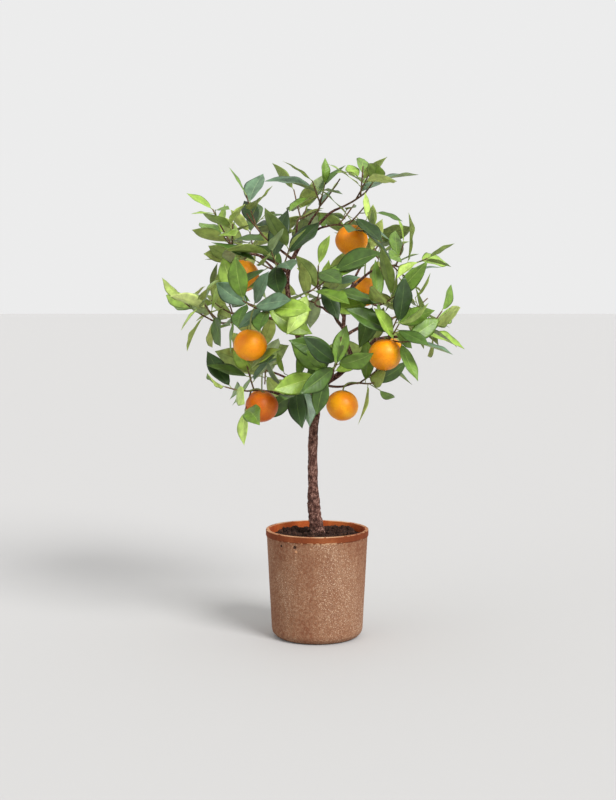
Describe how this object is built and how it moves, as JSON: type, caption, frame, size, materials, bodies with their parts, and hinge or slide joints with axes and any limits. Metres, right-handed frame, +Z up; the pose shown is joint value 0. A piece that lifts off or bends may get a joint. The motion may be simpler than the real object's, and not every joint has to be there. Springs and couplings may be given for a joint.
{
  "type": "potted navel orange tree",
  "caption": "Small standard orange tree with a slender flared trunk, forked boughs, open masses of pointed leaves and hanging ripe fruit, growing in soil in a round terracotta pot.",
  "frame": {"origin": "centre of the pot's flat underside", "axes": "+Z up, +X to the right as seen from the front, +Y away from the front"},
  "size_m": [0.7236, 0.6725, 1.1668],
  "materials": {
    "terracotta": "rough unglazed clay with a pale weathered bloom",
    "soil": "dark crumbly potting soil",
    "bark": "rough brown bark",
    "foliage": "satin green leaves with ripe orange fruit"
  },
  "bodies": {
    "root": {"back_centre": "foliage", "back_centre_bough": "bark", "back_crest": "foliage", "back_crest_bough": "bark", "back_left": "foliage", "back_left_bough": "bark", "back_low_left": "foliage", "back_low_left_bough": "bark", "back_low_right": "foliage", "back_low_right_bough": "bark", "back_right": "foliage", "back_right_bough": "bark", "back_upper_left": "foliage", "back_upper_left_bough": "bark", "back_upper_right": "foliage", "back_upper_right_bough": "bark", "centre": "foliage", "centre_bough": "bark", "centre_left": "foliage", "centre_left_spur": "bark", "crest": "foliage", "crest_bough": "bark", "crest_left": "foliage", "crest_left_spur": "bark", "front": "foliage", "front_bough": "bark", "front_left": "foliage", "front_left_bough": "bark", "leader_lower": "bark", "leader_upper": "bark", "left": "foliage", "left_bough": "bark", "lower_centre": "foliage", "lower_centre_spur": "bark", "lower_left": "foliage", "lower_left_bough": "bark", "lower_right": "foliage", "lower_right_bough": "bark", "pot": "terracotta", "right_bough": "bark", "right_low": "foliage", "right_low_spur": "bark", "right_mid": "foliage", "right_mid_bough": "bark", "right_outer": "foliage", "right_outer_bough": "bark", "right_upper": "foliage", "right_upper_bough": "bark", "right_upright": "bark", "soil": "soil", "top_front": "foliage", "top_front_spur": "bark", "trunk": "bark", "upper_left": "foliage", "upper_left_bough": "bark", "upper_left_inner": "foliage", "upper_left_spur": "bark"}
  },
  "joints": []
}
